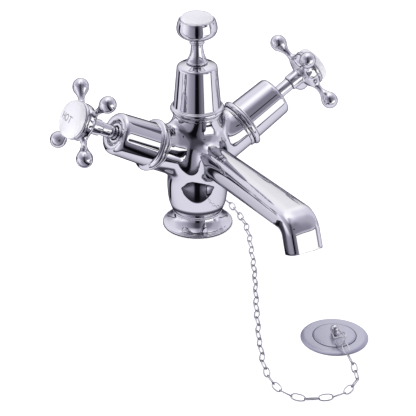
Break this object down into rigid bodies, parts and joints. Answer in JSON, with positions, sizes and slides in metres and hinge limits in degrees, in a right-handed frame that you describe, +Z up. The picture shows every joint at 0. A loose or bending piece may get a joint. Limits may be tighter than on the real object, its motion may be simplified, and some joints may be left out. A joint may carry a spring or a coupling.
{
  "type": "basin mixer tap",
  "caption": "Traditional chrome basin mixer with two angled cross-handle valves, a centre column with a ceramic knob, a cast spout, and a plug, chain and waste.",
  "frame": {"origin": "centre of the base flange on the basin deck's surface", "axes": "+Z up, -Y the way the spout points, -X towards the hot valve and +X towards the cold valve"},
  "size_m": [0.2223, 0.2824, 0.2284],
  "materials": {
    "chrome": "polished chrome plate",
    "chain_chrome": "chrome-plated wire links",
    "satin": "brushed chrome plate",
    "steel": "zinc-plated or stainless steel",
    "brass": "machined brass",
    "rubber": "black moulded rubber",
    "glaze": "white glazed ceramic",
    "alumina": "lapped alumina",
    "white_plastic": "white fibre washer"
  },
  "bodies": {
    "root": {"body_casting": "chrome", "base_gasket": "rubber", "clamp_rubber": "rubber", "clamp_plate": "steel", "fixing_stud": "steel", "fixing_nut": "brass", "top_bonnet": "chrome", "top_mounting_stud": "steel", "top_pillar": "chrome", "top_knob_cup": "chrome", "top_knob_screw": "steel", "top_index": "glaze", "hot_bonnet": "chrome", "hot_cartridge_body": "brass", "hot_seat_washer": "rubber", "hot_body_washer": "white_plastic", "hot_fixed_disc": "alumina", "cold_bonnet": "chrome", "cold_cartridge_body": "brass", "cold_seat_washer": "rubber", "cold_body_washer": "white_plastic", "cold_fixed_disc": "alumina", "outlet_housing": "chrome", "outlet_seal": "rubber", "outlet_grid": "steel", "chain_stay": "chrome", "chain_stay_ring": "chrome", "chain": "chain_chrome", "waste_body": "satin", "waste_top_seal": "rubber", "waste_lower_seal": "rubber", "waste_backnut": "brass"},
    "hot_handle": {"hot_spindle": "chrome", "hot_moving_disc": "alumina", "hot_spindle_seal": "rubber", "hot_spindle_clip": "steel", "hot_cross_handle": "chrome", "hot_handle_screw": "steel", "hot_index_bezel": "chrome", "hot_index": "glaze"},
    "cold_handle": {"cold_spindle": "chrome", "cold_moving_disc": "alumina", "cold_spindle_seal": "rubber", "cold_spindle_clip": "steel", "cold_cross_handle": "chrome", "cold_handle_screw": "steel", "cold_index_bezel": "chrome", "cold_index": "glaze"},
    "plug": {"plug_plate": "satin", "plug_rubber": "rubber", "plug_post": "chrome", "plug_nut": "brass", "plug_stirrup": "chrome", "plug_ring": "chrome"}
  },
  "joints": [
    {"name": "hot_turn", "type": "hinge", "parent": "root", "child": "hot_handle", "pos_m": [0, 0, 0.0543], "axis": [-0.8721, 0, 0.4894], "range_deg": [0, 90]},
    {"name": "cold_turn", "type": "hinge", "parent": "root", "child": "cold_handle", "pos_m": [0, 0, 0.0543], "axis": [-0.8721, 0, -0.4894], "range_deg": [0, 90]},
    {"name": "plug_lift", "type": "slide", "parent": "root", "child": "plug", "axis": [0, 0, 1], "range_m": [0, 0.02]}
  ]
}
